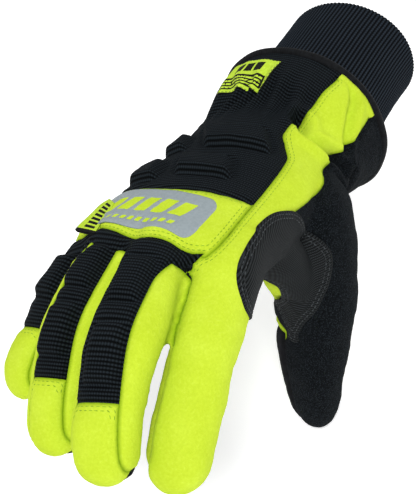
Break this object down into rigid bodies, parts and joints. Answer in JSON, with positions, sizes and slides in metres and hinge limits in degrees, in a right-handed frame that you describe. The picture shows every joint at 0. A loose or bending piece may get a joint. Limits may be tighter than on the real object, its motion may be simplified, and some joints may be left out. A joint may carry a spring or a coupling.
{
  "type": "winter work glove",
  "caption": "Padded right-hand winter work glove with a long rib-knit cuff, high-visibility suede panels and a reflective knuckle patch.",
  "frame": {"origin": "centre of the knit cuff's mouth", "axes": "+Y out of the cuff's mouth, up the arm; +X to the thumb's side; +Z out of the back of the hand"},
  "size_m": [0.12, 0.3004, 0.1601],
  "materials": {
    "knit_black": "rib knit, matte",
    "stretch_black": "ribbed stretch cloth, matte",
    "suede_lime": "synthetic suede, matte",
    "suede_black": "brushed synthetic suede, matte",
    "woven_black": "fine woven patch, satin",
    "film_grey": "reflective film, satin",
    "label_lime": "woven label, matte"
  },
  "bodies": {
    "root": {"knit_cuff": "knit_black", "cuff_binding": "knit_black", "back_panel": "stretch_black", "wrist_label": "label_lime", "knuckle_band": "suede_lime", "reflective_patch": "film_grey", "side_tag": "label_lime", "finger_backs": "stretch_black", "middle_tip_cap": "suede_lime", "ring_tip_cap": "suede_lime", "pinky_tip_cap": "suede_lime", "side_panel": "suede_lime", "index_middle_fourchette": "suede_lime", "middle_ring_fourchette": "suede_lime", "ring_pinky_fourchette": "suede_lime", "palm": "suede_black", "thumb_fourchette": "suede_black", "thumb_back": "suede_lime", "saddle_patch": "woven_black"}
  },
  "joints": []
}
